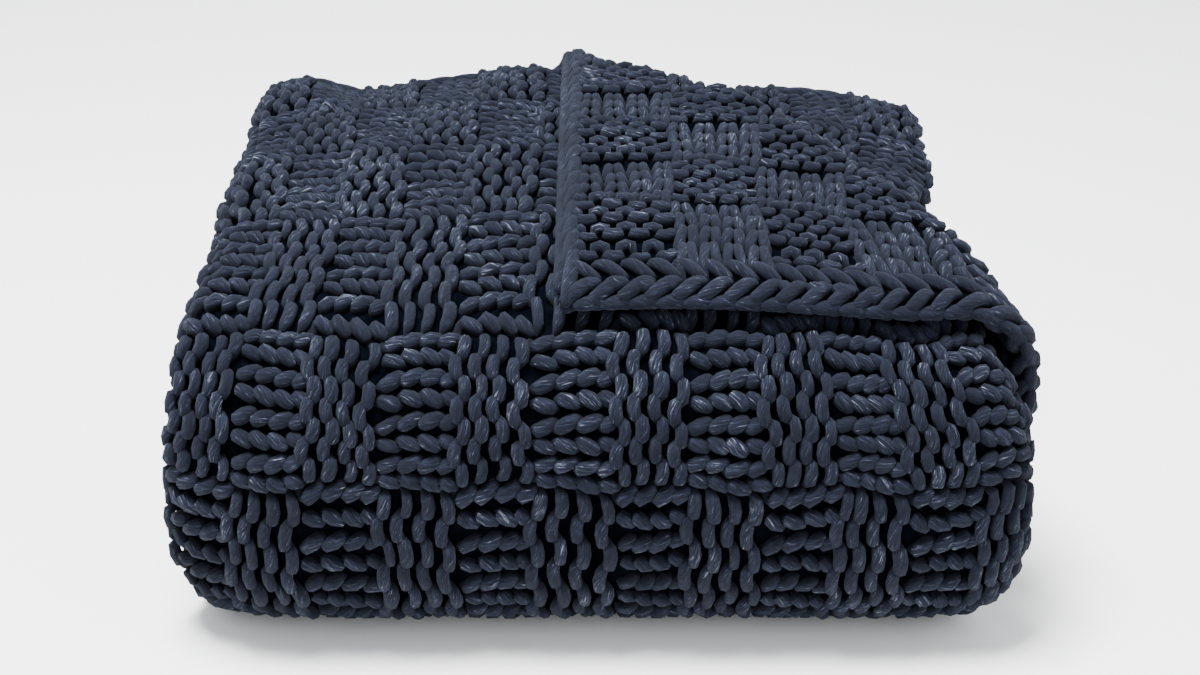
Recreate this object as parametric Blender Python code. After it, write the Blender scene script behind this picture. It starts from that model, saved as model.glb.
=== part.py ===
"""A chunky knit throw, folded for a shelf, with the corner of its top layer turned back.

The throw is one piece of thick knit cloth, so it is one solid: its middle surface is a grid of points
that follows the folds, and a Solidify gives it the cloth's thickness. It is folded twice:

1. Across, in thirds: the first third (the cover) lies outermost, the last third is tucked under it, and
   the middle third lies innermost. That makes a strip of three layers, with a round fold on its left.
2. Along, in half and in half again: the strip goes forward along the top, down the front, back along the
   bottom, and then forward and back again inside. PATH has one row for each of those lengths and folds.

The cover's back right corner is then turned over a diagonal crease, towards the front left. It shows the
cloth's wrong side, and its front edge hangs down the bundle's right side.

Metres, +Z up. The origin is on the surface that the throw rests on, under the middle of its box.
"""

import math

import bmesh
import bpy
import numpy as np
from mathutils import Matrix

# The cloth
THICKNESS = 0.0105
LAYER = 0.0145  # from one layer's middle to the next, with a little air between them
STRIP = 3 * LAYER

# The bundle, before it is plumped up
HALF_WIDTH = 0.213
BACK = 0.360  # from the front turn's outermost layer to the ends of the strip
OUTER_RADIUS = 1.5 * STRIP
INNER_RADIUS = 0.5 * STRIP
TURN_CENTRE = OUTER_RADIUS + LAYER + THICKNESS / 2
BOTTOM_STRIP = LAYER + THICKNESS / 2  # height of the lowest strip's middle
MID_HEIGHT = BOTTOM_STRIP + 1.5 * STRIP
BACK_FOLD_AT = BACK - STRIP
INNER_SET_BACK = 0.008  # the inner strip ends this far before the outer one
INNER_TOP_END = BACK - INNER_SET_BACK
INNER_NARROWING = 0.04  # the inner strips are this share narrower than the outer ones

# The path of the strip, from the end that lies on top: a straight length, or a fold of half a turn
PATH = (
    # name, length, half turns (1 is anticlockwise, seen from the right)
    ("outer top", BACK - TURN_CENTRE, 0),
    ("front turn", math.pi * OUTER_RADIUS, 1),
    ("outer bottom", BACK_FOLD_AT - TURN_CENTRE, 0),
    ("back fold", math.pi * INNER_RADIUS, 1),
    ("inner bottom", BACK_FOLD_AT - TURN_CENTRE, 0),
    ("inner turn", math.pi * INNER_RADIUS, -1),
    ("inner top", INNER_TOP_END - TURN_CENTRE, 0),
)

# The cover's right edge, which turns down over the side
RIGHT_DRAWN_IN = 0.014  # the right side is drawn in by this
EDGE_RADIUS = 0.014
LOOSENESS = 1.55  # the turned corner hangs this many times its height away from the side
EDGE_START = 2 * HALF_WIDTH - LAYER - EDGE_RADIUS - RIGHT_DRAWN_IN  # from the cover's left end
SHORT_EDGE = 0.012  # how far the cover reaches past EDGE_START where it only hooks over the side

# The corner that is turned back
CORNER_LEG = 0.320
COVER = 0.480  # the cover's whole width, with what hangs down on the right
CREASE_RADIUS = 0.0080
CREASE_SUM = COVER + BACK - CORNER_LEG  # the crease is where across + along is this
TAPER_ANGLE = math.radians(70)  # the hanging edge shortens over this much of the front turn
UPRIGHT_ANGLE = math.radians(45)  # up to here on the front turn the edge hangs nearly straight down
HOOKED_ANGLE = math.radians(140)  # from here on it hooks in towards the turn's centre
UPRIGHT_LEAN = 0.35  # how much of the turn's own angle the nearly upright edge leans back by

# The middle and tucked thirds
TUCK_RADIUS = LAYER / 2
TUCK_SET_IN = 0.0140  # the right fold lies this far inside the cover's edge
TUCK_CENTRE = HALF_WIDTH - TUCK_SET_IN - TUCK_RADIUS - RIGHT_DRAWN_IN
FOLD_CENTRE = -HALF_WIDTH + LAYER
TUCK_SHORT = 0.004  # the tucked third ends this far before the left fold's centre
TUCK_END = FOLD_CENTRE + TUCK_SHORT

# The plump, uneven form
SQUARENESS = 2.7  # of the front turn's upper half: 2 is round
LOW_SQUARENESS = 2.55  # and of its lower half
CROWNS = (
    # name, height, its top's x and y, its reach along x and y
    ("middle", 0.037, (-0.020, 0.260), (0.290, 0.220)),
    ("right back", 0.015, (0.120, 0.345), (0.080, 0.100)),
    ("beside the corner", 0.006, (-0.050, 0.345), (0.030, 0.080)),
    ("beside the ear", -0.009, (-0.155, 0.350), (0.032, 0.045)),
)
FLAT_BELOW = 0.012
TINY = 1e-9  # keeps an angle defined at the centre
EAR = 0.014  # the puffed left back corner of the uppermost layers
EAR_AT = (-0.183, 0.325)
EAR_REACH = (0.030, 0.055)
EAR_DEPTH = 6  # how quickly it fades in the layers below
ROUNDED = 0.018  # how far the front draws back at its two ends
ROUNDED_FROM = 0.135  # distance from the middle where that begins
SIDE_SWELLS = (
    # name, side, swell, begins and is full at y, fades and is gone at y
    ("right waist", 1, -0.026, (-0.030, 0.105), (0.110, 0.270)),
    ("right back", 1, 0.011, (0.200, 0.300), (1.0, 2.0)),
    ("left waist", -1, -0.005, (0.000, 0.100), (0.120, 0.200)),
    ("left back", -1, 0.003, (0.140, 0.260), (1.0, 2.0)),
)
BELLIES = (
    # name, side, swell, full below this z, gone above this z
    ("right front", 1, 0.026, 0.110, 0.190),
    ("left front", -1, 0.011, 0.100, 0.180),
)
BELLY_X = (0.070, 0.200)  # distances from the middle between which a belly swells
BELLY_Y = (0.000, 0.130)  # it is full before the first y, and gone past the second
WAVE = 0.0025  # height of the cloth's waves, whose lengths are given as radians a metre
SAG_WAVES = (23, 17, 1.0)  # along x and y, and the first one's phase
SIDE_WAVES = (19, 40)  # along y and z
END_WAVES = (21, 30, 0.6)  # along x and z, and their phase

# Cells of the grid in each length of the cloth
CELLS_ACROSS = (
    # name, length, cells
    ("corner", CORNER_LEG, 18),
    ("cover", COVER - CORNER_LEG, 8),
    ("left fold", math.pi * LAYER, 6),
    ("middle third", TUCK_CENTRE - FOLD_CENTRE, 6),
    ("right fold", math.pi * TUCK_RADIUS, 4),
    ("tucked third", TUCK_CENTRE - TUCK_END, 5),
)
CELLS_ALONG = (
    # name, length, cells
    ("corner", CORNER_LEG, 18),
    ("taper", TAPER_ANGLE * OUTER_RADIUS, 6),
    ("rest of the front turn", PATH[0][1] + PATH[1][1] - CORNER_LEG - TAPER_ANGLE * OUTER_RADIUS, 5),
    ("outer bottom", PATH[2][1], 4),
    ("back fold", PATH[3][1], 6),
    ("inner bottom", PATH[4][1], 4),
    ("inner turn", PATH[5][1], 8),
    ("inner top", PATH[6][1], 4),
)


def smooth(share):
    """0 to 1 with soft ends."""
    share = np.clip(share, 0.0, 1.0)
    return share * share * (3 - 2 * share)


def between(value, start, end):
    """0 up to start, 1 from end on, with soft ends."""
    return smooth((value - start) / (end - start))


def stations(cells):
    """Where the grid's lines lie along one side of the cloth."""
    found = [0.0]
    for _, length, count in cells:
        start = found[-1]
        found += [start + length * (i + 1) / count for i in range(count)]
    return np.array(found)


def strip_line(s):
    """The strip's middle line in the YZ plane at distance s along it, and its heading."""
    y = np.full(s.shape, BACK)
    z = np.full(s.shape, MID_HEIGHT + 1.5 * STRIP)
    angle = np.full(s.shape, math.pi)
    start = 0.0
    at = (BACK, MID_HEIGHT + 1.5 * STRIP, math.pi)
    for _, length, turn in PATH:
        here = s >= start
        run = np.clip(s - start, 0.0, length)
        if turn:
            radius = length / math.pi
            side = at[2] + turn * math.pi / 2
            centre = (at[0] + radius * math.cos(side), at[1] + radius * math.sin(side))
            heading = at[2] + turn * run / radius
            new_y = centre[0] - radius * np.cos(heading + turn * math.pi / 2)
            new_z = centre[1] - radius * np.sin(heading + turn * math.pi / 2)
            end = at[2] + turn * math.pi
            at = (
                centre[0] - radius * math.cos(end + turn * math.pi / 2),
                centre[1] - radius * math.sin(end + turn * math.pi / 2),
                end,
            )
        else:
            heading = np.full(s.shape, at[2])
            new_y = at[0] + run * math.cos(at[2])
            new_z = at[1] + run * math.sin(at[2])
            at = (at[0] + length * math.cos(at[2]), at[1] + length * math.sin(at[2]), at[2])
        y, z, angle = np.where(here, new_y, y), np.where(here, new_z, z), np.where(here, heading, angle)
        start += length
    return y, z, angle


def cover_reach(s):
    """How far across the cover reaches: over the side at the corner, and only round the edge elsewhere."""
    taper = smooth((s - CORNER_LEG) / (TAPER_ANGLE * OUTER_RADIUS))
    return COVER + (EDGE_START + SHORT_EDGE - COVER) * taper


def turned_corner(across, along):
    """Turns what lies past the crease back over it. Gives the new place and its height above the cover."""
    past = (across + along - CREASE_SUM) / math.sqrt(2)
    roll = np.clip(past / CREASE_RADIUS, 0.0, math.pi)
    rolled = CREASE_RADIUS * np.sin(roll) - np.maximum(past - math.pi * CREASE_RADIUS, 0.0)
    moved = np.where(past > 0, rolled - past, 0.0) / math.sqrt(2)
    return across + moved, along + moved, CREASE_RADIUS * (1 - np.cos(roll))


def hanging_angle(s):
    """The direction in which the cover's right edge turns in: down near the top, to the centre further on."""
    turn = np.clip((s - PATH[0][1]) / OUTER_RADIUS, 0.0, math.pi)
    hooked = smooth((turn - UPRIGHT_ANGLE) / (HOOKED_ANGLE - UPRIGHT_ANGLE))
    past_turn = s > PATH[0][1] + PATH[1][1]
    _, _, heading = strip_line(s)
    inwards = heading + math.pi / 2
    down = 1.5 * math.pi
    lean = UPRIGHT_LEAN + (1 - UPRIGHT_LEAN) * hooked
    return np.where(past_turn, inwards, down + (inwards - down) * lean)


def cover_point(u, s):
    """The cover, u from its right edge: flat, turned down over the side, and with its corner turned back."""
    reach = cover_reach(s)
    left = COVER - CORNER_LEG
    across = np.where(u < CORNER_LEG, left + (reach - left) * (1 - u / CORNER_LEG), COVER - u)
    across, along, height = turned_corner(across, BACK - s)
    s = BACK - along
    y, z, heading = strip_line(s)
    radius, reach_out = EDGE_RADIUS + height, EDGE_RADIUS + LOOSENESS * height
    past = np.maximum(across - EDGE_START, 0.0)
    bend = np.minimum(past / radius, math.pi / 2)
    drop = radius * (1 - np.cos(bend)) + np.maximum(past - radius * math.pi / 2, 0.0)
    x = FOLD_CENTRE + np.minimum(across, EDGE_START) + reach_out * np.sin(bend)
    out, hang = heading - math.pi / 2, hanging_angle(s)
    y = y + (LAYER + height) * np.cos(out) + drop * np.cos(hang)
    z = z + (LAYER + height) * np.sin(out) + drop * np.sin(hang)
    return x, y, z


def inner_point(u, s):
    """The left fold, the middle third, the right fold and the tucked third, u from the cover's left end."""
    _, fold, middle, tuck = (length for _, length, _ in CELLS_ACROSS[1:5])
    round_fold = np.clip(u / LAYER, 0.0, math.pi)
    x = FOLD_CENTRE - LAYER * np.sin(round_fold)
    offset = LAYER * np.cos(round_fold)
    x = x + np.clip(u - fold, 0.0, middle)
    round_tuck = np.clip((u - fold - middle) / TUCK_RADIUS, 0.0, math.pi)
    x = x + TUCK_RADIUS * np.sin(round_tuck)
    offset = offset + TUCK_RADIUS * (1 - np.cos(round_tuck))
    x = x - np.maximum(u - fold - middle - tuck, 0.0)
    y, z, heading = strip_line(s)
    out = heading - math.pi / 2
    return x, y + offset * np.cos(out), z + offset * np.sin(out)


def hill(x, y, at, reach):
    """A soft round hill, 1 at its top."""
    return np.exp(-(((x - at[0]) / reach[0]) ** 2) - ((y - at[1]) / reach[1]) ** 2)


def plumped(x, y, z):
    """The bundle's real form: a fuller front, a crowned top, a puffed corner and uneven sides."""
    forward, up = np.maximum(TURN_CENTRE - y, 0.0), z - MID_HEIGHT
    angle = np.arctan2(np.abs(up), forward + TINY)
    power = np.where(up > 0, SQUARENESS, LOW_SQUARENESS)
    square = (np.cos(angle) ** power + np.sin(angle) ** power) ** (-1 / power)
    square = np.where(y < TURN_CENTRE, square, 1.0)
    y = np.where(y < TURN_CENTRE, TURN_CENTRE - forward * square, y)
    z = MID_HEIGHT + up * square
    ends = between(np.abs(x), ROUNDED_FROM, HALF_WIDTH)
    y = y + ROUNDED * ends * ends * np.clip(1 - y / TURN_CENTRE, 0.0, 1.0)
    moved = 0.0
    for _, side, swell, begins, fades in SIDE_SWELLS:
        share = between(y, *begins) * (1 - between(y, *fades)) * between(side * x, 0.0, HALF_WIDTH)
        moved = moved + side * swell * share
    for _, side, swell, full, gone in BELLIES:
        share = between(side * x, *BELLY_X) * (1 - between(y, *BELLY_Y)) * (1 - between(z, full, gone))
        moved = moved + side * swell * share
    x = x + moved
    rise = sum(height * hill(x, y, at, reach) for _, height, at, reach in CROWNS)
    ear = EAR * hill(x, y, EAR_AT, EAR_REACH)
    share = np.clip((z - FLAT_BELOW) / (2 * MID_HEIGHT - FLAT_BELOW), 0.0, None)
    raised = np.clip(z / (2 * MID_HEIGHT), 0.0, 1.0)
    sag = WAVE * np.sin(SAG_WAVES[0] * x + SAG_WAVES[2]) * np.sin(SAG_WAVES[1] * y)
    outwards = np.sign(x) * between(np.abs(x), 0.0, HALF_WIDTH)
    sideways = outwards * np.sin(SIDE_WAVES[0] * y + SIDE_WAVES[1] * z)
    new_x = x + WAVE * raised * sideways
    new_y = y + WAVE * raised * np.sin(END_WAVES[0] * x + END_WAVES[1] * z + END_WAVES[2])
    return new_x, new_y, z + share * (rise + sag) + np.minimum(share, 1.0) ** EAR_DEPTH * ear


def cloth_point(u, s):
    """A point of the cloth's middle surface, u across from the cover's free edge and s along from its end."""
    on_cover = u < COVER
    cover = cover_point(np.minimum(u, COVER), s)
    inner = inner_point(np.maximum(u - COVER, 0.0), s)
    x, y, z = (np.where(on_cover, a, b) for a, b in zip(cover, inner))
    inside = smooth((s - PATH[0][1] - PATH[1][1] - PATH[2][1]) / PATH[3][1])
    return plumped(x * (1 - INNER_NARROWING * inside), y, z)


def throw_mesh():
    """The middle surface as a grid of quads, cut along the diagonals that run with the crease."""
    across, along = stations(CELLS_ACROSS), stations(CELLS_ALONG)
    u, s = np.meshgrid(across, along)
    x, y, z = cloth_point(u, s)
    mesh = bmesh.new()
    rows = [
        [mesh.verts.new(point) for point in zip(x_row, y_row, z_row)]
        for x_row, y_row, z_row in zip(x.tolist(), y.tolist(), z.tolist())
    ]
    for row, next_row in zip(rows, rows[1:]):
        for a, b, c, d in zip(row, row[1:], next_row[1:], next_row):
            mesh.faces.new((a, d, b))
            mesh.faces.new((b, d, c))
    bmesh.ops.recalc_face_normals(mesh, faces=mesh.faces)
    made = bpy.data.meshes.new("throw")
    mesh.to_mesh(made)
    mesh.free()
    made.shade_smooth()
    return made


def yarn():
    """Dark slate blue wool-like yarn."""
    material = bpy.data.materials.new("yarn")
    material.use_nodes = True
    shader = material.node_tree.nodes["Principled BSDF"]
    shader.inputs["Base Color"].default_value = (0.035, 0.052, 0.085, 1.0)
    shader.inputs["Roughness"].default_value = 0.9
    shader.inputs["Metallic"].default_value = 0.0
    return material


def stand(throw):
    """Moves the throw so that the origin is on the surface under the middle of its box."""
    thick = throw.evaluated_get(bpy.context.evaluated_depsgraph_get()).to_mesh()
    corners = np.array([vertex.co[:] for vertex in thick.vertices])
    low, high = corners.min(axis=0), corners.max(axis=0)
    middle = (low + high) / 2
    throw.data.transform(Matrix.Translation((-middle[0], -middle[1], -low[2])))


def main():
    for old in list(bpy.data.objects):
        bpy.data.objects.remove(old)
    throw = bpy.data.objects.new("throw", throw_mesh())
    throw.data.materials.append(yarn())
    bpy.context.scene.collection.objects.link(throw)
    thicken = throw.modifiers.new("thicken", "SOLIDIFY")
    thicken.thickness = THICKNESS
    thicken.offset = 0.0
    thicken.use_rim = True
    stand(throw)


main()
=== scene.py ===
"""The looks of the chunky basket-stitch throw.

The cloth is knitted here as it really is: each course is one strand of yarn that runs along the cloth and
makes a loop in every wale, in front of its neighbour or behind it as the stitch is plain or purl. Four
stitches by four of one kind make a block, and the blocks alternate like a chessboard. The strands follow the
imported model's folds.

In the cloth, u is the distance across it from the cover's free edge, s the distance along it from the end that
lies on top, and height the distance from its middle surface, positive on the side that faces out of the bundle
except in its turned-back corner, whose other side shows.
"""

import math

import bpy
import numpy as np
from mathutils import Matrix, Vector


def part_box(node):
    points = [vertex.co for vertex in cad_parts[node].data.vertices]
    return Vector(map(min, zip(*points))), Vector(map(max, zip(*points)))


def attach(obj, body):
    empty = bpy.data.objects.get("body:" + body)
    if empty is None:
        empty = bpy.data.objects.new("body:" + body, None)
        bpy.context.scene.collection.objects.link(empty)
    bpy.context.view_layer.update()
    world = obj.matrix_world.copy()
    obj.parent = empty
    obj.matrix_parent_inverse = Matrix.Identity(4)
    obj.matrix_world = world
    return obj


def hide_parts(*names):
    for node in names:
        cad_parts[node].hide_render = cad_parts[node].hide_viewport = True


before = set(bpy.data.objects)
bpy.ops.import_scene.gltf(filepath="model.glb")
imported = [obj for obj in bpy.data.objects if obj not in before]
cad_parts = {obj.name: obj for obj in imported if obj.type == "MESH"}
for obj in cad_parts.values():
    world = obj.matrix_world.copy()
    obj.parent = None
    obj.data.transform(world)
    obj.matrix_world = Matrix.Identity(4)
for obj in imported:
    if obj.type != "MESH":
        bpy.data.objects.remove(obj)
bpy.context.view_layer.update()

# The cloth's folds, with the model's own sizes
THICKNESS = 0.0105
LAYER = 0.0145
STRIP = 3 * LAYER
HALF_WIDTH = 0.213
BACK = 0.360
INNER_SET_BACK = 0.008
OUTER_RADIUS = 1.5 * STRIP
INNER_RADIUS = 0.5 * STRIP
TURN_CENTRE = OUTER_RADIUS + LAYER + THICKNESS / 2
BOTTOM_STRIP = LAYER + THICKNESS / 2
MID_HEIGHT = BOTTOM_STRIP + 1.5 * STRIP
BACK_FOLD_AT = BACK - STRIP
INNER_TOP_END = BACK - INNER_SET_BACK
INNER_NARROWING = 0.04
PATH = (
    # name, length, half turns
    ("outer top", BACK - TURN_CENTRE, 0),
    ("front turn", math.pi * OUTER_RADIUS, 1),
    ("outer bottom", BACK_FOLD_AT - TURN_CENTRE, 0),
    ("back fold", math.pi * INNER_RADIUS, 1),
    ("inner bottom", BACK_FOLD_AT - TURN_CENTRE, 0),
    ("inner turn", math.pi * INNER_RADIUS, -1),
    ("inner top", INNER_TOP_END - TURN_CENTRE, 0),
)
RIGHT_DRAWN_IN = 0.014
EDGE_RADIUS = 0.014
LOOSENESS = 1.55
EDGE_START = 2 * HALF_WIDTH - LAYER - EDGE_RADIUS - RIGHT_DRAWN_IN
SHORT_EDGE = 0.012
CORNER_LEG = 0.320
COVER = 0.480
CREASE_RADIUS = 0.0080
CREASE_SUM = COVER + BACK - CORNER_LEG
TAPER_ANGLE = math.radians(70)
UPRIGHT_ANGLE = math.radians(45)
HOOKED_ANGLE = math.radians(140)
UPRIGHT_LEAN = 0.35
TUCK_RADIUS = LAYER / 2
TUCK_SET_IN = 0.0140
TUCK_CENTRE = HALF_WIDTH - TUCK_SET_IN - TUCK_RADIUS - RIGHT_DRAWN_IN
FOLD_CENTRE = -HALF_WIDTH + LAYER
TUCK_SHORT = 0.004
TUCK_END = FOLD_CENTRE + TUCK_SHORT
SQUARENESS = 2.7
LOW_SQUARENESS = 2.55
CROWNS = (
    # name, height, its top's x and y, its reach along x and y
    ("middle", 0.037, (-0.020, 0.260), (0.290, 0.220)),
    ("right back", 0.015, (0.120, 0.345), (0.080, 0.100)),
    ("beside the corner", 0.006, (-0.050, 0.345), (0.030, 0.080)),
    ("beside the ear", -0.009, (-0.155, 0.350), (0.032, 0.045)),
)
FLAT_BELOW = 0.012
EAR = 0.014
EAR_AT = (-0.183, 0.325)
EAR_REACH = (0.030, 0.055)
EAR_DEPTH = 6
ROUNDED = 0.018
ROUNDED_FROM = 0.135
SIDE_SWELLS = (
    # name, side, swell, begins and is full at y, fades and is gone at y
    ("right waist", 1, -0.026, (-0.030, 0.105), (0.110, 0.270)),
    ("right back", 1, 0.011, (0.200, 0.300), (1.0, 2.0)),
    ("left waist", -1, -0.005, (0.000, 0.100), (0.120, 0.200)),
    ("left back", -1, 0.003, (0.140, 0.260), (1.0, 2.0)),
)
BELLIES = (
    # name, side, swell, full below this z, gone above this z
    ("right front", 1, 0.026, 0.110, 0.190),
    ("left front", -1, 0.011, 0.100, 0.180),
)
BELLY_X = (0.070, 0.200)
BELLY_Y = (0.000, 0.130)
WAVE = 0.0025
SAG_WAVES = (23, 17, 1.0)
SIDE_WAVES = (19, 40)
END_WAVES = (21, 30, 0.6)
LEFT_FOLD = math.pi * LAYER
MIDDLE_THIRD = TUCK_CENTRE - FOLD_CENTRE
RIGHT_FOLD = math.pi * TUCK_RADIUS
ACROSS = COVER + LEFT_FOLD + MIDDLE_THIRD + RIGHT_FOLD + TUCK_CENTRE - TUCK_END
ALONG = sum(length for _, length, _ in PATH)

# The knitting
STITCHES = 4  # in a block, each way
TIGHT_WALE = 0.013  # the width of a wale where the cloth isn't stretched
LOOSE_WALE = 0.021  # and where it is stretched most
LOOP_REACH = 0.77  # half the height of a loop, in courses: loops reach into the courses beside them
TIGHT_REACH = 0.07  # how much further they reach where the wales aren't stretched
SLACK_REACH = 0.03  # how far a slack loop slips back, in courses
LOOP_LEAN = 0.19  # how far the legs of a loop lean, in wales
RELIEF = 0.0036  # half the distance from the front of the loops to their back
WELT = 0.0012  # how far purl courses stand out beside plain ones, and plain wales beside purl ones
YARN_RADIUS = 0.0034
LOOSE_LEG = 0.0009  # how much thicker the loops' legs are where the wales are stretched wide
TIGHT_LEG = 0.0004  # and how much thinner where they aren't
SLACK_YARN = 0.09  # how much thicker the yarn of a slack loop is, of its radius
PLAIN_BACK = 0.82  # the yarn's thickness where it passes behind, of that in front, in plain stitches
PURL_BACK = 0.32  # and in purl ones
THINNING = 3  # how soon it gets thinner on its way back, as a power
TIGHT_PLAIN_LEG = 0.75  # how soon a plain stitch's leg goes to the back after its middle, as a power
LOOSE_PLAIN_LEG = 1.7  # the same where the wales are stretched wide
PURL_LEG = 1.35  # and in purl stitches
SHINGLE = 0.40  # a plain leg's lower end lies this far over the loop below, of the relief
PROUD = 0.0014  # purl loops stand out this far over the legs of plain ones
DIP = 1.0  # how far the yarn sinks between a leg and a head that are both in front, of the relief
PURL_PULL = (0.34, 0.25, 0.16, 0.07)  # how far a purl block's courses lie off their even places, in courses
OVERLAP = 0.10  # blocks reach this far over the ones before and after them in a course, in wales
OVERLAP_AT = (0.0, 0.15, 3.85, 4.0)  # the places in a block, in wales,
OVERLAP_WAY = (0.0, -1.0, 1.0, 0.0)  # and which way its stitches are moved there
PAINTED_SHADE_DEPTH = 0.0062  # the painted shade on the yarn fades to none at this far off the cloth's middle
FLOOR_CLEARANCE = 0.0004
TUBE_SIDES = 8
TINY = 1e-9

# How unevenly the yarn lies: it wanders slowly, in waves that are bent by others, and quickly
SLOW_WANDER_U = (0.0011, 61, 3, 47)  # how far, its waves along the cloth, how far they are bent, and how often
SLOW_WANDER_S = (0.0012, 71, 2, 53)  # the same with its waves across the cloth
QUICK_WANDER = 0.0007
QUICK_WAVES_U = (143, 90)  # along the cloth and across it
QUICK_WAVES_S = (157, 2)  # across the cloth, and where they begin

# The edges' chains. A link's row gives where it begins and ends along the edge and in from it, its height over
# the cloth's middle at its ends and in its middle, and its radius
CAST_OFF_PITCH = 0.0139
CAST_OFF_LINKS = (
    # along, inwards, heights, radius
    ((0.0, 0.0180), (0.0130, 0.0060), (0.0012, 0.0044), 0.0037),
    ((-0.0020, 0.0180), (-0.0020, 0.0048), (0.0012, 0.0044), 0.0039),
)
CAST_OFF_RIM = ((0.0040, 0.0220), (-0.0030, -0.0015), (0.0, 0.0), 0.0038)
END_PITCH = 0.0150
END_LINKS = (
    # along, inwards, heights, radius
    ((-0.0040, 0.0220), (0.0005, 0.0060), (0.0012, 0.0040), 0.0041),
)
END_RIM = ((0.0030, 0.0260), (-0.0025, -0.0010), (0.0, 0.0), 0.0040)
LINK_TIP = 0.42  # a link's thickness at its ends, of that in its middle
LINK_RINGS = 9
# how raised the edge chains' links count, the same all along them, for their painted shade: they get little of
# it
LINK_PAINTED_LIGHT = 0.9

# The plain sheet behind the stitches, nearly black with painted shade
SHEET_HALF = 0.0015
SHEET_SET_IN = 0.003
SHEET_POINTS = (150, 160)

# Where the blocks begin, across the cloth and along it
COVER_BANDS = (
    -0.001, 0.039, 0.0783, 0.1097, 0.1381, 0.1691, 0.1988, 0.2396,
    0.2747, 0.3175, 0.355, 0.3925, 0.427, 0.4605, 0.494,
)
FLAP_BANDS = (0.0095, 0.059, 0.103, 0.154, 0.199, 0.245, 0.291, 0.337)
FLAP_ROWS = (0.006, 0.058, 0.112, 0.167, 0.222, 0.278, 0.334)
ROWS = (0.0, 0.070, 0.134, 0.214, 0.3095, 0.3635, 0.444)
HIDDEN_ROW = 0.0756
HIDDEN_BAND = 0.0380

# Which stitches each piece holds: those that show, and a few past them
RIGHT_FOLD_START = COVER + LEFT_FOLD + MIDDLE_THIRD
RIGHT_FOLD_END = RIGHT_FOLD_START + RIGHT_FOLD
LEFT_FOLD_SPARE = 0.014
RIGHT_FOLD_SPARE = 0.022
CREASE_SPARE = 0.022  # the top's stitches go on this far past the crease
FRONT_START = CORNER_LEG - 0.004
FRONT_START_BY_CREASE = CORNER_LEG - 0.035
FRONT_END = 0.50
FLAT_SPARE = 0.002  # how far the stitches that lie flat go on into the crease
FLAP_SPARE = 0.006  # and those of the turned-back corner
EDGE_SPARE = 0.004  # how far they stay off the cover's edge
REVEALED_ACROSS = 0.236  # how much of the tucked third the turned-back corner uncovers, at the end on top
REVEALED_ALONG = 0.25
TOP_SAMPLES = 16  # rings of a tube in each stitch, where it shows most
SIDE_SAMPLES = 12

# The picture
FLOOR_SIZE = 6.0
WORLD_STRENGTH = 1.45
LIGHTS = (
    # name, place, size, watts
    ("key", (-0.30, -0.25, 1.9), 0.7, 160),
    ("fill", (1.2, -1.0, 0.9), 1.2, 7),
)
SENSOR_WIDTH = 36
LENS = 59.4
CAMERA_AT = (-0.003, -0.848, 0.615)
CAMERA_DOWN = 26.5

rng = np.random.default_rng(7)


def smooth(share):
    """0 to 1 with soft ends."""
    share = np.clip(share, 0.0, 1.0)
    return share * share * (3 - 2 * share)


def between(value, start, end):
    """0 up to start, 1 from end on, with soft ends."""
    return smooth((value - start) / (end - start))


def strip_line(s):
    """The strip's middle line in the YZ plane at distance s along it, and its heading."""
    y = np.full(s.shape, BACK)
    z = np.full(s.shape, MID_HEIGHT + 1.5 * STRIP)
    angle = np.full(s.shape, math.pi)
    start = 0.0
    at = (BACK, MID_HEIGHT + 1.5 * STRIP, math.pi)
    for _, length, turn in PATH:
        here = s >= start
        run = np.clip(s - start, 0.0, length)
        if turn:
            radius = length / math.pi
            side = at[2] + turn * math.pi / 2
            centre = (at[0] + radius * math.cos(side), at[1] + radius * math.sin(side))
            heading = at[2] + turn * run / radius
            new_y = centre[0] - radius * np.cos(heading + turn * math.pi / 2)
            new_z = centre[1] - radius * np.sin(heading + turn * math.pi / 2)
            end = at[2] + turn * math.pi
            at = (
                centre[0] - radius * math.cos(end + turn * math.pi / 2),
                centre[1] - radius * math.sin(end + turn * math.pi / 2),
                end,
            )
        else:
            heading = np.full(s.shape, at[2])
            new_y = at[0] + run * math.cos(at[2])
            new_z = at[1] + run * math.sin(at[2])
            at = (at[0] + length * math.cos(at[2]), at[1] + length * math.sin(at[2]), at[2])
        y, z, angle = np.where(here, new_y, y), np.where(here, new_z, z), np.where(here, heading, angle)
        start += length
    return y, z, angle


def cover_reach(s):
    taper = smooth((s - CORNER_LEG) / (TAPER_ANGLE * OUTER_RADIUS))
    return COVER + (EDGE_START + SHORT_EDGE - COVER) * taper


def cover_u(v, s):
    """The cloth's own u at a distance from the cover's right end that is measured on the cloth laid flat."""
    left = COVER - CORNER_LEG
    squeezed = CORNER_LEG * (1 - (COVER - v - left) / (cover_reach(s) - left))
    return np.where(v < CORNER_LEG, squeezed, v)


def turned_corner(across, along):
    past = (across + along - CREASE_SUM) / math.sqrt(2)
    roll = np.clip(past / CREASE_RADIUS, 0.0, math.pi)
    rolled = CREASE_RADIUS * np.sin(roll) - np.maximum(past - math.pi * CREASE_RADIUS, 0.0)
    moved = np.where(past > 0, rolled - past, 0.0) / math.sqrt(2)
    return across + moved, along + moved, CREASE_RADIUS * (1 - np.cos(roll))


def hanging_angle(s):
    turn = np.clip((s - PATH[0][1]) / OUTER_RADIUS, 0.0, math.pi)
    hooked = smooth((turn - UPRIGHT_ANGLE) / (HOOKED_ANGLE - UPRIGHT_ANGLE))
    past_turn = s > PATH[0][1] + PATH[1][1]
    _, _, heading = strip_line(s)
    inwards = heading + math.pi / 2
    down = 1.5 * math.pi
    return np.where(past_turn, inwards, down + (inwards - down) * (UPRIGHT_LEAN + (1 - UPRIGHT_LEAN) * hooked))


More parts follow.
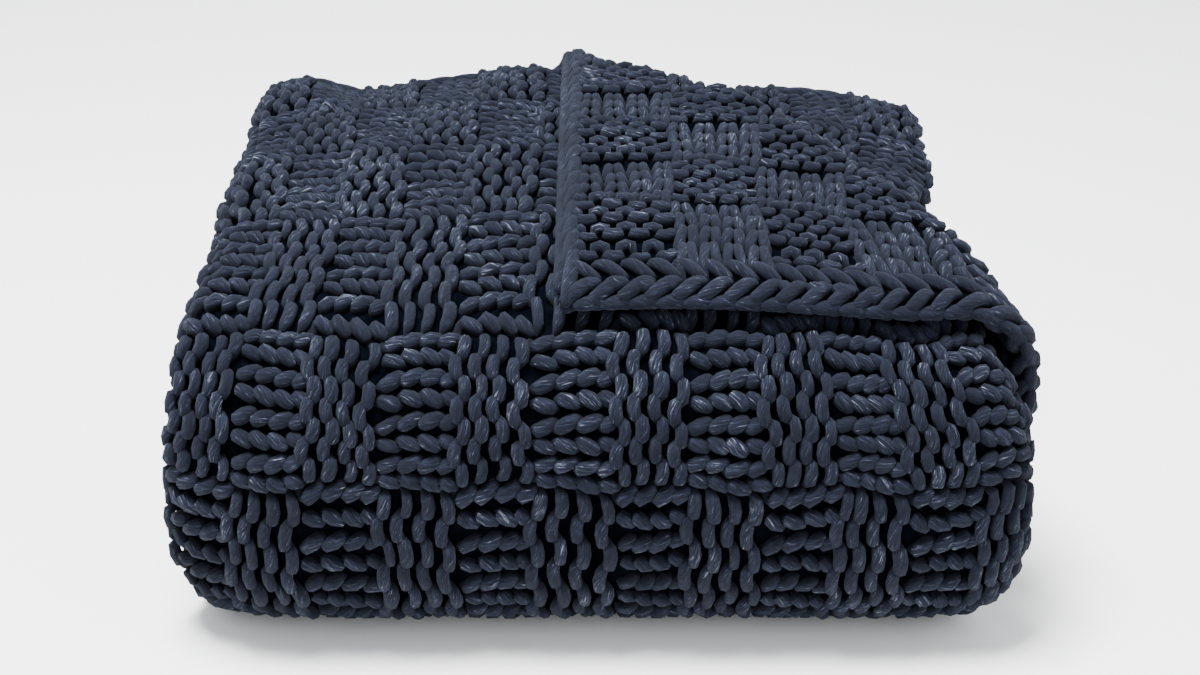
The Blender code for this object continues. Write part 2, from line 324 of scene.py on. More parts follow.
def cover_point(u, s):
    """The cover: flat, turned down over the right side, and with its corner turned back."""
    reach = cover_reach(s)
    left = COVER - CORNER_LEG
    across = np.where(u < CORNER_LEG, left + (reach - left) * (1 - u / CORNER_LEG), COVER - u)
    across, along, height = turned_corner(across, BACK - s)
    s = BACK - along
    y, z, heading = strip_line(s)
    radius, reach_out = EDGE_RADIUS + height, EDGE_RADIUS + LOOSENESS * height
    past = np.maximum(across - EDGE_START, 0.0)
    bend = np.minimum(past / radius, math.pi / 2)
    drop = radius * (1 - np.cos(bend)) + np.maximum(past - radius * math.pi / 2, 0.0)
    x = FOLD_CENTRE + np.minimum(across, EDGE_START) + reach_out * np.sin(bend)
    out, hang = heading - math.pi / 2, hanging_angle(s)
    y = y + (LAYER + height) * np.cos(out) + drop * np.cos(hang)
    z = z + (LAYER + height) * np.sin(out) + drop * np.sin(hang)
    return x, y, z


def inner_point(u, s):
    """The left fold, the middle third, the right fold and the tucked third, u from the cover's left end."""
    round_fold = np.clip(u / LAYER, 0.0, math.pi)
    x = FOLD_CENTRE - LAYER * np.sin(round_fold)
    offset = LAYER * np.cos(round_fold)
    x = x + np.clip(u - LEFT_FOLD, 0.0, MIDDLE_THIRD)
    round_tuck = np.clip((u - LEFT_FOLD - MIDDLE_THIRD) / TUCK_RADIUS, 0.0, math.pi)
    x = x + TUCK_RADIUS * np.sin(round_tuck)
    offset = offset + TUCK_RADIUS * (1 - np.cos(round_tuck))
    x = x - np.maximum(u - LEFT_FOLD - MIDDLE_THIRD - RIGHT_FOLD, 0.0)
    y, z, heading = strip_line(s)
    out = heading - math.pi / 2
    return x, y + offset * np.cos(out), z + offset * np.sin(out)


def hill(x, y, at, reach):
    return np.exp(-(((x - at[0]) / reach[0]) ** 2) - ((y - at[1]) / reach[1]) ** 2)


def plumped(x, y, z):
    """The bundle's real form: a fuller front, a crowned top, a puffed corner and sides that aren't straight."""
    forward, up = np.maximum(TURN_CENTRE - y, 0.0), z - MID_HEIGHT
    angle = np.arctan2(np.abs(up), forward + TINY)
    power = np.where(up > 0, SQUARENESS, LOW_SQUARENESS)
    square = (np.cos(angle) ** power + np.sin(angle) ** power) ** (-1 / power)
    square = np.where(y < TURN_CENTRE, square, 1.0)
    y = np.where(y < TURN_CENTRE, TURN_CENTRE - forward * square, y)
    z = MID_HEIGHT + up * square
    ends = between(np.abs(x), ROUNDED_FROM, HALF_WIDTH)
    y = y + ROUNDED * ends * ends * np.clip(1 - y / TURN_CENTRE, 0.0, 1.0)
    moved = 0.0
    for _, side, swell, begins, fades in SIDE_SWELLS:
        share = between(y, *begins) * (1 - between(y, *fades)) * between(side * x, 0.0, HALF_WIDTH)
        moved = moved + side * swell * share
    for _, side, swell, full, gone in BELLIES:
        share = between(side * x, *BELLY_X) * (1 - between(y, *BELLY_Y)) * (1 - between(z, full, gone))
        moved = moved + side * swell * share
    x = x + moved
    rise = sum(height * hill(x, y, at, reach) for _, height, at, reach in CROWNS)
    ear = EAR * hill(x, y, EAR_AT, EAR_REACH)
    share = np.clip((z - FLAT_BELOW) / (2 * MID_HEIGHT - FLAT_BELOW), 0.0, None)
    raised = np.clip(z / (2 * MID_HEIGHT), 0.0, 1.0)
    sag = WAVE * np.sin(SAG_WAVES[0] * x + SAG_WAVES[2]) * np.sin(SAG_WAVES[1] * y)
    sideways = np.sin(SIDE_WAVES[0] * y + SIDE_WAVES[1] * z) * np.sign(x) * between(np.abs(x), 0.0, HALF_WIDTH)
    new_x = x + WAVE * raised * sideways
    new_y = y + WAVE * raised * np.sin(END_WAVES[0] * x + END_WAVES[1] * z + END_WAVES[2])
    return new_x, new_y, z + share * (rise + sag) + np.minimum(share, 1.0) ** EAR_DEPTH * ear


def middle_surface(u, s):
    on_cover = u < COVER
    cover = cover_point(np.minimum(u, COVER), s)
    inner = inner_point(np.maximum(u - COVER, 0.0), s)
    x, y, z = (np.where(on_cover, a, b) for a, b in zip(cover, inner))
    inside = smooth((s - PATH[0][1] - PATH[1][1] - PATH[2][1]) / PATH[3][1])
    return np.stack(plumped(x * (1 - INNER_NARROWING * inside), y, z), axis=-1)


def unit(vectors):
    return vectors / np.maximum(np.linalg.norm(vectors, axis=-1, keepdims=True), TINY)


def on_cloth(u, s, height):
    """Points at that height over the cloth, and the way out of it. Past its edges it goes on straight."""
    step = 0.0008
    inner_u, inner_s = np.clip(u, step, ACROSS - step), np.clip(s, step, ALONG - step)
    along_u = middle_surface(inner_u + step, inner_s) - middle_surface(inner_u - step, inner_s)
    along_s = middle_surface(inner_u, inner_s + step) - middle_surface(inner_u, inner_s - step)
    out = unit(np.cross(along_u, along_s))
    points = middle_surface(inner_u, inner_s)
    points = points + along_u * ((u - inner_u) / (2 * step))[..., None]
    points = points + along_s * ((s - inner_s) / (2 * step))[..., None]
    return points + out * height[..., None], out


def model_shift():
    """From the folds' own coordinates to the frame's, whose origin is under the middle of the model's box."""
    u, s = np.meshgrid(np.linspace(0, ACROSS, 260), np.linspace(0, ALONG, 270))
    faces = [on_cloth(u, s, np.full(u.shape, side * THICKNESS / 2))[0].reshape(-1, 3) for side in (-1, 1)]
    points = np.concatenate(faces)
    low, high = points.min(axis=0), points.max(axis=0)
    cad_low, cad_high = (np.array(corner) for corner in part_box("throw"))
    shift = (cad_low + cad_high - low - high) / 2
    shift[2] = cad_low[2] - low[2]
    return shift


SHIFT = model_shift()


def tube(u, s, height, radius, face=1, painted_light=None):
    """A strand along u, s and height: its points, its quads, their UVs, and how raised each point is, which
    the material turns into painted shade.

    A UV holds the length along the strand and the turn around it. face is the cloth's side that shows, and the
    last argument, where it is given, how raised all the points count, so that they all get the same painted
    shade.
    """
    sides = TUBE_SIDES
    centre, out = on_cloth(u, s, height)
    heading = unit(np.gradient(centre, axis=0))
    up = unit(out - heading * np.sum(out * heading, axis=1, keepdims=True))
    side = np.cross(heading, up)
    turn = np.arange(sides) / sides
    ring = 2 * math.pi * turn
    wide = radius[:, None, None] * side[:, None, :] * np.cos(ring)[None, :, None]
    tall = radius[:, None, None] * up[:, None, :] * np.sin(ring)[None, :, None]
    points = (centre[:, None, :] + wide + tall).reshape(-1, 3) + SHIFT
    points[:, 2] = np.maximum(points[:, 2], FLOOR_CLEARANCE)
    # Painted shade: the less raised a point is on the side that shows, the darker the material paints it,
    # standing in for the shade deep between and behind the loops
    off_middle = face * (height[:, None] + radius[:, None] * np.sin(ring)[None, :]) / PAINTED_SHADE_DEPTH
    raised = np.clip(off_middle, 0.0, 1.0) if painted_light is None else np.full(off_middle.shape, painted_light)
    steps = np.linalg.norm(np.diff(centre, axis=0), axis=1)
    length = np.concatenate([[0.0], np.cumsum(steps)])
    rings = len(u)
    a = (np.arange(rings - 1)[:, None] * sides + np.arange(sides)[None, :]).reshape(-1)
    b = (np.arange(rings - 1)[:, None] * sides + (np.arange(sides) + 1)[None, :] % sides).reshape(-1)
    walls = np.stack([a, b, b + sides, a + sides], axis=1)
    wall_turn = np.tile(turn, rings - 1)
    wall_uv = np.stack(
        [
            np.stack([np.repeat(length[:-1], sides), wall_turn], axis=1),
            np.stack([np.repeat(length[:-1], sides), wall_turn + 1 / sides], axis=1),
            np.stack([np.repeat(length[1:], sides), wall_turn + 1 / sides], axis=1),
            np.stack([np.repeat(length[1:], sides), wall_turn], axis=1),
        ],
        axis=1,
    )
    half = sides // 2
    first = np.array([[k, sides - 1 - k, sides - 2 - k, k + 1] for k in range(half - 1)])
    last = first[:, ::-1] + (rings - 1) * sides
    cap_uv = np.zeros((2 * len(first), 4, 2))
    cap_uv[len(first):, :, 0] = length[-1]
    return points, np.concatenate([walls, first, last]), np.concatenate([wall_uv, cap_uv]), raised.reshape(-1)


def uneven(u, s):
    """Where the yarn really lies, a little off its even place, as in hand knitting."""
    far, waves, bend, bends = SLOW_WANDER_U
    quick = QUICK_WANDER * np.sin(QUICK_WAVES_U[0] * s + QUICK_WAVES_U[1] * u)
    u = u + far * np.sin(waves * s + bend * np.sin(bends * u)) + quick
    far, waves, bend, bends = SLOW_WANDER_S
    quick = QUICK_WANDER * np.sin(QUICK_WAVES_S[0] * u + QUICK_WAVES_S[1])
    s = s + far * np.sin(waves * u + bend * np.sin(bends * s)) + quick
    return u, s


class Knitting:
    """A part of the cloth as a grid of stitches: where its courses and wales lie, and which blocks are plain.

    shown says which stitches are made, and face is the cloth's side that shows, 1 or -1. kind is 1 for the
    stitches that are plain on side 1, and -1 for those that are purl there.
    """

    def __init__(self, bands, rows, shown, face=1):
        self.shown = shown
        self.face = face
        self.u_at = self.spaced(bands)
        self.s_at = self.spaced(rows)
        self.courses = STITCHES * (len(bands) - 1)
        self.wales = STITCHES * (len(rows) - 1)
        band = np.arange(self.courses) // STITCHES
        row = np.arange(self.wales) // STITCHES
        self.kind = np.where((band[:, None] + row[None, :]) % 2 == 0, 1.0, -1.0)
        padded = np.pad(self.kind, 1, mode="edge")
        beside = (padded[1:-1, :-2] + padded[1:-1, 2:]) / 2
        before = (padded[:-2, 1:-1] + padded[2:, 1:-1]) / 2
        self.welt = WELT * ((self.kind - beside) - (self.kind - before))
        right = -np.array(PURL_PULL)[np.arange(self.courses) % STITCHES]
        self.pull = np.where(face * self.kind < 0, right[:, None], 0.0)
        self.loose = rng.normal(0, 1, self.kind.shape)

    @staticmethod
    def spaced(edges):
        """The distance at each whole stitch, from where the blocks begin."""
        index = np.arange(STITCHES * (len(edges) - 1) + 1)
        return np.interp(index, STITCHES * np.arange(len(edges)), edges)

    @staticmethod
    def place(at, index):
        """The distance at a stitch number that needn't be whole, going on evenly past the ends."""
        last = len(at) - 1
        found = np.interp(index, np.arange(len(at)), at)
        found = found + np.minimum(index, 0.0) * (at[1] - at[0])
        return found + np.maximum(index - last, 0.0) * (at[-1] - at[-2])

    def field(self, values, course, wale):
        """A value that is given for each stitch, blended between the stitches' middles."""
        i = np.clip(course - 0.5, 0, self.courses - 1.001)
        j = np.clip(wale - 0.5, 0, self.wales - 1.001)
        i0, j0 = i.astype(int), j.astype(int)
        fi, fj = i - i0, j - j0
        near = values[i0, j0] * (1 - fj) + values[i0, j0 + 1] * fj
        far = values[i0 + 1, j0] * (1 - fj) + values[i0 + 1, j0 + 1] * fj
        return near * (1 - fi) + far * fi

    def stretched(self, course, wale):
        """How far the cloth is stretched there, from 0 where the wales are tight to 1 where they are loose."""
        v = np.full(self.wales + 1, (self.u_at[course] + self.u_at[course + 1]) / 2)
        edges = middle_surface(cover_u(v, self.s_at), self.s_at)
        widths = np.linalg.norm(np.diff(edges, axis=0), axis=1)
        width = np.interp(np.clip(wale - 0.5, 0, self.wales - 1), np.arange(self.wales), widths)
        return np.clip((width - TIGHT_WALE) / (LOOSE_WALE - TIGHT_WALE), 0.0, 1.0)

    def relief(self, course, wale, at, stretched):
        """How far the yarn is on a leg, whether it shows as plain there, and its depth, without the welts.

        A plain stitch has its legs in front and its head and feet behind, and a purl stitch has them the other
        way round. The head is drawn through the course before, so that course's stitch says where it lies.
        """
        here = self.kind[course, wale]
        left = self.kind[course, np.maximum(wale - 1, 0)]
        right = self.kind[course, np.minimum(wale + 1, self.wales - 1)]
        drawn_through = self.kind[max(course - 1, 0), wale]
        head = (at >= math.pi / 2) & (at <= 1.5 * math.pi)
        plain = np.minimum(self.face * here, self.face * np.where(head, drawn_through, here)) > 0
        plain_leg = TIGHT_PLAIN_LEG + (LOOSE_PLAIN_LEG - TIGHT_PLAIN_LEG) * stretched
        leg = smooth(((1 - np.cos(2 * at)) / 2) ** np.where(plain, plain_leg, PURL_LEG))
        foot = np.where(at < math.pi, -(left + here) / 2, -(right + here) / 2)
        turned = np.where(head, -drawn_through, foot)
        both = (self.face * here > 0) & (self.face * turned > 0)
        depth = leg * here + (1 - leg) * turned
        depth = depth - self.face * DIP * np.where(both, 4 * leg * (1 - leg), 0.0)
        depth = depth + SHINGLE * np.where(plain, here, 0.0) * leg * np.cos(at)
        proud = self.face * PROUD * (1 - leg) * np.maximum(self.face * turned, 0.0)
        return leg, plain, depth, proud

    def strand(self, course, start, end, samples):
        """One course of yarn from wale start to wale end, as a tube.

        A loop is one turn of the angle at: its feet are at 0 and at a full turn, the middles of its legs at a
        quarter and at three quarters, and its head is half way round, in the course before.
        """
        count = samples * (end - start)
        turn = np.linspace(0.0, 2 * math.pi * (end - start), count + 1)
        wale = np.minimum(np.arange(count + 1) // samples, end - start - 1) + start
        at = turn - 2 * math.pi * (wale - start)
        middle = np.full(count + 1, course + 0.5)
        stretched = self.stretched(course, wale + at / (2 * math.pi))
        slack = self.loose[course, wale] * np.sin(at / 2) ** 2
        reach = LOOP_REACH + TIGHT_REACH * (1 - stretched)
        place = middle + reach * np.cos(at) + SLACK_REACH * slack
        across_wale = wale + at / (2 * math.pi) + LOOP_LEAN * np.sin(2 * at)
        across_wale = across_wale + OVERLAP * np.interp(across_wale % STITCHES, OVERLAP_AT, OVERLAP_WAY)
        pull = self.field(self.pull, middle, across_wale)
        s = self.place(self.s_at, across_wale)
        u, s = uneven(cover_u(self.place(self.u_at, place + pull), s), s)
        leg, plain, depth, proud = self.relief(course, wale, at, stretched)
        own_welt = self.face * self.field(self.welt, middle, across_wale)
        welt = self.face * np.maximum(own_welt, self.face * self.field(self.welt, place, across_wale))
        front = np.clip((1 + self.face * depth) / 2, 0.0, 1.0)
        back = np.where(plain, PLAIN_BACK, PURL_BACK)
        radius = YARN_RADIUS + leg * (LOOSE_LEG * stretched - TIGHT_LEG * (1 - stretched))
        radius = radius * (1 + SLACK_YARN * slack) * (back + (1 - back) * front**THINNING)
        return tube(u, s, RELIEF * depth + proud + welt, radius, self.face)

    def strands(self, samples):
        """Every course, for the stretches of it that show."""
        made = []
        for course in range(self.courses):
            u = np.full(self.wales, (self.u_at[course] + self.u_at[course + 1]) / 2)
            s = (self.s_at[:-1] + self.s_at[1:]) / 2
            seen = np.concatenate([[0], self.shown(u, s).astype(int), [0]])
            starts, ends = np.nonzero(np.diff(seen) == 1)[0], np.nonzero(np.diff(seen) == -1)[0]
            made += [self.strand(course, a, b, samples) for a, b in zip(starts, ends)]
        return made


def link(start, end, low, high, radius):
    """One link of an edge chain: a short strand with pointed ends that rises in its middle."""
    t = np.linspace(0.0, 1.0, LINK_RINGS)
    u = start[0] + (end[0] - start[0]) * smooth(t)
    s = start[1] + (end[1] - start[1]) * t
    arch = np.sin(math.pi * t)
    thick = radius * (LINK_TIP + (1 - LINK_TIP) * np.sqrt(arch))
    return tube(u, s, low + (high - low) * arch, thick, painted_light=LINK_PAINTED_LIGHT)


def chain(length, pitch, links, rim, on_edge):
    """The chain along an edge: its links on both faces of the cloth, and one on the rim.

    on_edge gives u and s at a distance along the edge and one inwards from it.
    """
    placed = [(face, *row) for face in (-1, 1) for row in links] + [(1, *rim)]
    made = []
    for k in range(int(length / pitch)):
        for face, along, inwards, heights, radius in placed:
            begins, ends = (on_edge(k * pitch + far, near) for far, near in zip(along, inwards))
            low, high = (face * height for height in heights)
            made.append(link(begins, ends, low, high, radius))
    return made


def cast_off_edge():
    """The chain along the cover's free edge: a V of two strands a wale on each face, and one on the rim."""
    return chain(ALONG, CAST_OFF_PITCH, CAST_OFF_LINKS, CAST_OFF_RIM, lambda along, inwards: (inwards, along))


def end_chain(end, way):
    """The smooth chain along an end of the cloth: long strands that overlap like a rope's."""
    return chain(ACROSS, END_PITCH, END_LINKS, END_RIM, lambda along, inwards: (along, end + way * inwards))


def yarn_piece(name, strands, material):
    """One mesh of many strands, with a UV map that holds length along the yarn and turn around it."""
    counts = [len(points) for points, _, _, _ in strands]
    starts = np.concatenate([[0], np.cumsum(counts)[:-1]])
    points = np.concatenate([points for points, _, _, _ in strands]).astype(np.float32)
    quads = np.concatenate([quads + start for (_, quads, _, _), start in zip(strands, starts)])
    quads = quads.astype(np.int32)
    uv = np.concatenate([uv for _, _, uv, _ in strands]).astype(np.float32)
    raised = np.concatenate([raised for _, _, _, raised in strands]).astype(np.float32)
    tone = np.repeat(rng.uniform(0, 1, len(strands)), counts).astype(np.float32)
    mesh = bpy.data.meshes.new(name)
    mesh.vertices.add(len(points))
    mesh.vertices.foreach_set("co", points.ravel())
    mesh.loops.add(4 * len(quads))
    mesh.loops.foreach_set("vertex_index", quads.ravel())
    mesh.polygons.add(len(quads))
    mesh.polygons.foreach_set("loop_start", 4 * np.arange(len(quads), dtype=np.int32))
    layer = mesh.uv_layers.new(name="strand")
    layer.data.foreach_set("uv", uv.ravel())
    # tone is each strand's own random tone; raised carries the painted shade into the material
    for attribute, values in (("tone", tone), ("raised", raised)):
        mesh.attributes.new(attribute, "FLOAT", "POINT").data.foreach_set("value", values)
    mesh.update(calc_edges=True)
    mesh.validate()
    mesh.shade_smooth()
    mesh.materials.append(material)
    piece = bpy.data.objects.new(name, mesh)
    bpy.context.scene.collection.objects.link(piece)
    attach(piece, "root")
    return piece


def linear(hexed):
    """An sRGB hex colour as linear RGBA."""
    parts = [int(hexed[i:i + 2], 16) / 255 for i in (1, 3, 5)]
    return (*(c / 12.92 if c <= 0.04045 else ((c + 0.055) / 1.055) ** 2.4 for c in parts), 1.0)


def add_node(tree, kind, inputs=None, **settings):
    """Adds a node with its settings, and sets or links its inputs."""
    made = tree.nodes.new(kind)
    for name, value in settings.items():
        setattr(made, name, value)
    for name, value in (inputs or {}).items():
        if isinstance(value, bpy.types.NodeSocket):
            tree.links.new(value, made.inputs[name])
        else:
            made.inputs[name].default_value = value
    return made


def new_material(name):
    material = bpy.data.materials.new(name)
    material.use_nodes = True
    tree = material.node_tree
    tree.nodes.clear()
    return material, tree


def soft_spun_wool():
    """Loosely spun wool roving, dyed slate blue: matt, with fibre bundles that twist slowly round the strand.

    The bundles are drawn much coarser than real fibres of 0.03 mm, so that they show, and the brightest few of
    them carry a painted highlight. What lies deep between the loops or behind them gets painted shade: darker
    the nearer it is to the cloth's middle.
    """
    twist = 1 / 0.045  # turns a metre
    bundles_along = 42.0  # the noise's units a metre along the strand, few, so that the bundles are long
    strand_offset = 3.0  # how far along the noise the strands' tones lie apart, so that no two strands match
    mottle_scale = 38.0  # patches about 26 mm wide
    fuzz_scale = 900.0  # loose fibres about 1 mm apart
    material, tree = new_material("soft_spun_wool")
    strand = add_node(tree, "ShaderNodeUVMap", uv_map="strand")
    parts = add_node(tree, "ShaderNodeSeparateXYZ", {"Vector": strand.outputs["UV"]})
    twisted = add_node(
        tree,
        "ShaderNodeMath",
        {0: parts.outputs["X"], 1: twist, 2: parts.outputs["Y"]},
        operation="MULTIPLY_ADD",
    )
    angle = add_node(tree, "ShaderNodeMath", {0: twisted.outputs[0], 1: 2 * math.pi}, operation="MULTIPLY")
    cosine = add_node(tree, "ShaderNodeMath", {0: angle.outputs[0]}, operation="COSINE")
    sine = add_node(tree, "ShaderNodeMath", {0: angle.outputs[0]}, operation="SINE")
    tone = add_node(tree, "ShaderNodeAttribute", attribute_name="tone")
    offset = add_node(
        tree,
        "ShaderNodeMath",
        {0: tone.outputs["Fac"], 1: strand_offset, 2: parts.outputs["X"]},
        operation="MULTIPLY_ADD",
    )
    along = add_node(tree, "ShaderNodeMath", {0: offset.outputs[0], 1: bundles_along}, operation="MULTIPLY")
    fibre_at = add_node(
        tree,
        "ShaderNodeCombineXYZ",
        {"X": cosine.outputs[0], "Y": sine.outputs[0], "Z": along.outputs[0]},
    )
    fibres = add_node(
        tree,
        "ShaderNodeTexNoise",
        {"Vector": fibre_at.outputs[0], "Scale": 3.9, "Detail": 7.0, "Roughness": 0.74, "Distortion": 0.3},
    )
    place = add_node(tree, "ShaderNodeTexCoord")
    mottle = add_node(
        tree,
        "ShaderNodeTexNoise",
        {"Vector": place.outputs["Object"], "Scale": mottle_scale, "Detail": 3.0},
    )
    fuzz = add_node(
        tree,
        "ShaderNodeTexNoise",
        {"Vector": place.outputs["Object"], "Scale": fuzz_scale, "Detail": 2.0},
    )
    streaks = add_node(
        tree,
        "ShaderNodeMapRange",
        {"Value": fibres.outputs["Fac"], "From Min": 0.34, "From Max": 0.70},
    )
    patches = add_node(
        tree,
        "ShaderNodeMapRange",
        {"Value": mottle.outputs["Fac"], "From Min": 0.3, "From Max": 0.7, "To Min": -0.14, "To Max": 0.14},
    )
    mixed = add_node(
        tree,
        "ShaderNodeMath",
        {0: streaks.outputs[0], 1: patches.outputs[0]},
        operation="ADD",
        use_clamp=True,
    )
    shaded = add_node(
        tree,
        "ShaderNodeMath",
        {0: mixed.outputs[0], 1: 0.55, 2: 0.45},
        operation="MULTIPLY_ADD",
    )
    # Painted shade: the colour is darkened where the yarn lies deep in the cloth or on its hidden side, read
    # from the raised attribute
    raised = add_node(tree, "ShaderNodeAttribute", attribute_name="raised")
    painted_light = add_node(
        tree,
        "ShaderNodeMapRange",
        {"Value": raised.outputs["Fac"], "From Min": -0.15, "From Max": 0.95},
    )
    share = add_node(tree, "ShaderNodeMath", {0: shaded.outputs[0], 1: painted_light.outputs[0]}, operation="MULTIPLY")
    # The ramp takes the streaks' random tone times the painted shade; its bright grey end is a painted
    # highlight on the raised fibre bundles
    colour = add_node(tree, "ShaderNodeValToRGB", {"Fac": share.outputs[0]})
    ramp = colour.color_ramp
    ramp.elements[0].color = linear("#03050b")
    ramp.elements[1].color = linear("#797d88")
    for position, hexed in ((0.45, "#050710"), (0.70, "#0c0f1b"), (0.86, "#1f2432")):
        ramp.elements.new(position).color = linear(hexed)
    grain = add_node(
        tree,
        "ShaderNodeMath",
        {0: fuzz.outputs["Fac"], 1: 0.22, 2: fibres.outputs["Fac"]},
        operation="MULTIPLY_ADD",
    )
    bump = add_node(tree, "ShaderNodeBump", {"Height": grain.outputs[0], "Strength": 0.9, "Distance": 0.0011})
    shader = add_node(
        tree,
        "ShaderNodeBsdfPrincipled",
        {
            "Base Color": colour.outputs["Color"],
            "Roughness": 0.92,
            "Specular IOR Level": 0.12,
            "Sheen Weight": 0.05,
            "Sheen Roughness": 0.55,
            "Sheen Tint": linear("#9fb0c6"),
            "Normal": bump.outputs["Normal"],
        },
    )
    add_node(tree, "ShaderNodeOutputMaterial", {"Surface": shader.outputs[0]})
    return material


def painted_shade_wool():
    """Painted shade for the yarn deep between the stitches: nearly black, in soft loops, standing in for the
    shade there.
    """
    loop_scale = 120.0  # loops about 8 mm across, as the courses are
    material, tree = new_material("painted_shade_wool")
    place = add_node(tree, "ShaderNodeTexCoord")
    loops = add_node(tree, "ShaderNodeTexVoronoi", {"Vector": place.outputs["Object"], "Scale": loop_scale})
    colour = add_node(tree, "ShaderNodeValToRGB", {"Fac": loops.outputs["Distance"]})
    # Painted shade: nearly black, for the shade that falls between the loops
    colour.color_ramp.elements[0].color = linear("#05070c")
    colour.color_ramp.elements[1].color = linear("#010204")
    bump = add_node(
        tree,
        "ShaderNodeBump",
        {"Height": loops.outputs["Distance"], "Strength": 0.8, "Distance": 0.003},
        invert=True,
    )
    shader = add_node(
        tree,
        "ShaderNodeBsdfPrincipled",
        {
            "Base Color": colour.outputs["Color"],
            "Roughness": 0.95,
            "Specular IOR Level": 0.0,
            "Normal": bump.outputs["Normal"],
        },
    )
    add_node(tree, "ShaderNodeOutputMaterial", {"Surface": shader.outputs[0]})
    return material


def cloth_sheet(material):
    """The cloth that the stitches are part of, thin behind them, nearly black with painted shade that fills the
    gaps between the loops.
    """
    across = np.linspace(SHEET_SET_IN, ACROSS, SHEET_POINTS[0])
    u, s = np.meshgrid(across, np.linspace(SHEET_SET_IN, ALONG, SHEET_POINTS[1]))
    heights = [np.full(u.shape, side * SHEET_HALF) for side in (1, -1)]
    points = np.concatenate([on_cloth(u, s, height)[0].reshape(-1, 3) + SHIFT for height in heights])
    points[:, 2] = np.maximum(points[:, 2], 2 * FLOOR_CLEARANCE)
    rows, columns = u.shape
    index = np.arange(rows * columns).reshape(rows, columns)
    a, b = index[:-1, :-1].ravel(), index[:-1, 1:].ravel()
    c, d = index[1:, 1:].ravel(), index[1:, :-1].ravel()
    top = np.stack([a, b, c, d], axis=1)
    under = top[:, ::-1] + rows * columns
    rim = np.concatenate([index[0, :], index[1:, -1], index[-1, -2::-1], index[-2:0:-1, 0]])
    after = np.roll(rim, -1)
    edge = np.stack([after, rim, rim + rows * columns, after + rows * columns], axis=1)
    mesh = bpy.data.meshes.new("throw_cloth")
    mesh.from_pydata(points.tolist(), [], np.concatenate([top, under, edge]).tolist())
    mesh.update()
    mesh.shade_smooth()
    mesh.materials.append(material)
    piece = bpy.data.objects.new("throw_cloth", mesh)
    bpy.context.scene.collection.objects.link(piece)
    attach(piece, "root")
    return piece


def even(start, end, size):
    """Block edges from start to end, evenly spaced, as near to that size as goes."""
    count = max(1, round((end - start) / size))
    return tuple(start + (end - start) * k / count for k in range(1, count + 1))


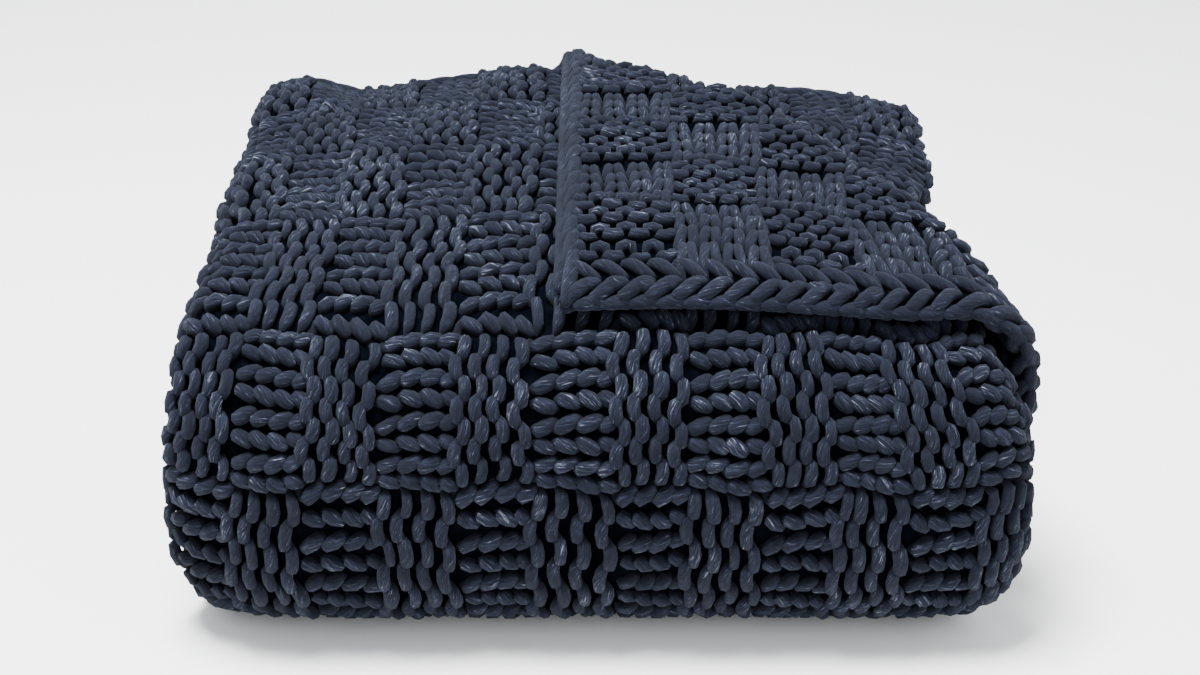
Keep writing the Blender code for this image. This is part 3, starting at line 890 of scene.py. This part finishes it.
def make_throw():
    wool = soft_spun_wool()
    bands = COVER_BANDS + even(COVER_BANDS[-1], ACROSS, HIDDEN_BAND)
    rows = ROWS + even(ROWS[-1], ALONG, HIDDEN_ROW)
    fold_end = PATH[0][1] + PATH[1][1] + PATH[2][1] + PATH[3][1]
    left_start, left_end = COVER - LEFT_FOLD_SPARE, COVER + LEFT_FOLD + LEFT_FOLD_SPARE
    right_start, right_end = RIGHT_FOLD_START - RIGHT_FOLD_SPARE, RIGHT_FOLD_END + RIGHT_FOLD_SPARE

    def inside_edge(u, s):
        return u > COVER - cover_reach(s) + EDGE_SPARE

    def on_top(u, s):
        return (u < left_end) & (u > CORNER_LEG - CREASE_SPARE) & (s < FRONT_START)

    def on_front(u, s):
        by_crease = (s > FRONT_START_BY_CREASE) & (u <= CORNER_LEG - CREASE_SPARE)
        flat = u + s > CORNER_LEG - FLAT_SPARE
        return (u < left_end) & ((s >= FRONT_START) | by_crease) & (s < FRONT_END) & flat & inside_edge(u, s)

    def underneath(u, s):
        return (u < left_end) & (s >= FRONT_END) & (s < fold_end) & inside_edge(u, s)

    def in_left_fold(u, s):
        return (u > left_start) & (u < left_end) & (s >= fold_end)

    def in_right_fold(u, s):
        revealed = (u + s < RIGHT_FOLD_END + REVEALED_ACROSS) & (s < REVEALED_ALONG)
        return (u > right_start) & ((u < right_end) | revealed)

    def on_flap(u, s):
        return u + s < CORNER_LEG + FLAP_SPARE

    throw = [
        ("stitches_top", Knitting(bands, rows, on_top), TOP_SAMPLES),
        ("stitches_front", Knitting(bands, rows, on_front), TOP_SAMPLES),
        ("stitches_underneath", Knitting(bands, rows, underneath), SIDE_SAMPLES),
        ("stitches_left_fold", Knitting(bands, rows, in_left_fold), SIDE_SAMPLES),
        ("stitches_right_fold", Knitting(bands, rows, in_right_fold), SIDE_SAMPLES),
        ("stitches_corner", Knitting(FLAP_BANDS, FLAP_ROWS, on_flap, face=-1), TOP_SAMPLES),
    ]
    pieces = [yarn_piece(name, knitting.strands(samples), wool) for name, knitting, samples in throw]
    pieces.append(yarn_piece("edge_cast_off", cast_off_edge(), wool))
    pieces.append(yarn_piece("edge_ends", end_chain(0.0, 1) + end_chain(ALONG, -1), wool))
    sheet = cloth_sheet(painted_shade_wool())
    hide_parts("throw")


def studio():
    """A pale floor, soft light from above and in front, and the camera."""
    floor_mesh = bpy.data.meshes.new("floor")
    corners = [(FLOOR_SIZE * x, FLOOR_SIZE * y, 0) for x, y in ((-1, -1), (1, -1), (1, 1), (-1, 1))]
    floor_mesh.from_pydata(corners, [], [(0, 1, 2, 3)])
    material, tree = new_material("pale_floor")
    shader = add_node(tree, "ShaderNodeBsdfPrincipled", {"Base Color": linear("#fbfbfb"), "Roughness": 0.8})
    add_node(tree, "ShaderNodeOutputMaterial", {"Surface": shader.outputs[0]})
    floor_mesh.materials.append(material)
    floor = bpy.data.objects.new("floor", floor_mesh)
    bpy.context.scene.collection.objects.link(floor)

    world = bpy.data.worlds.new("studio")
    world.use_nodes = True
    background = world.node_tree.nodes["Background"]
    background.inputs["Color"].default_value = linear("#f6f8fb")
    background.inputs["Strength"].default_value = WORLD_STRENGTH
    bpy.context.scene.world = world
    for name, place, size, watts in LIGHTS:
        data = bpy.data.lights.new(name, "AREA")
        data.size = size
        data.energy = watts
        lamp = bpy.data.objects.new(name, data)
        lamp.location = place
        aim = -lamp.location
        lamp.rotation_euler = aim.to_track_quat("-Z", "Y").to_euler()
        bpy.context.scene.collection.objects.link(lamp)

    data = bpy.data.cameras.new("camera")
    data.sensor_width = SENSOR_WIDTH
    data.lens = LENS
    camera = bpy.data.objects.new("camera", data)
    camera.location = (CAMERA_AT[0] + SHIFT[0], CAMERA_AT[1] + SHIFT[1], CAMERA_AT[2])
    camera.rotation_euler = (math.radians(90 - CAMERA_DOWN), 0, 0)
    bpy.context.scene.collection.objects.link(camera)
    bpy.context.scene.camera = camera


make_throw()
studio()
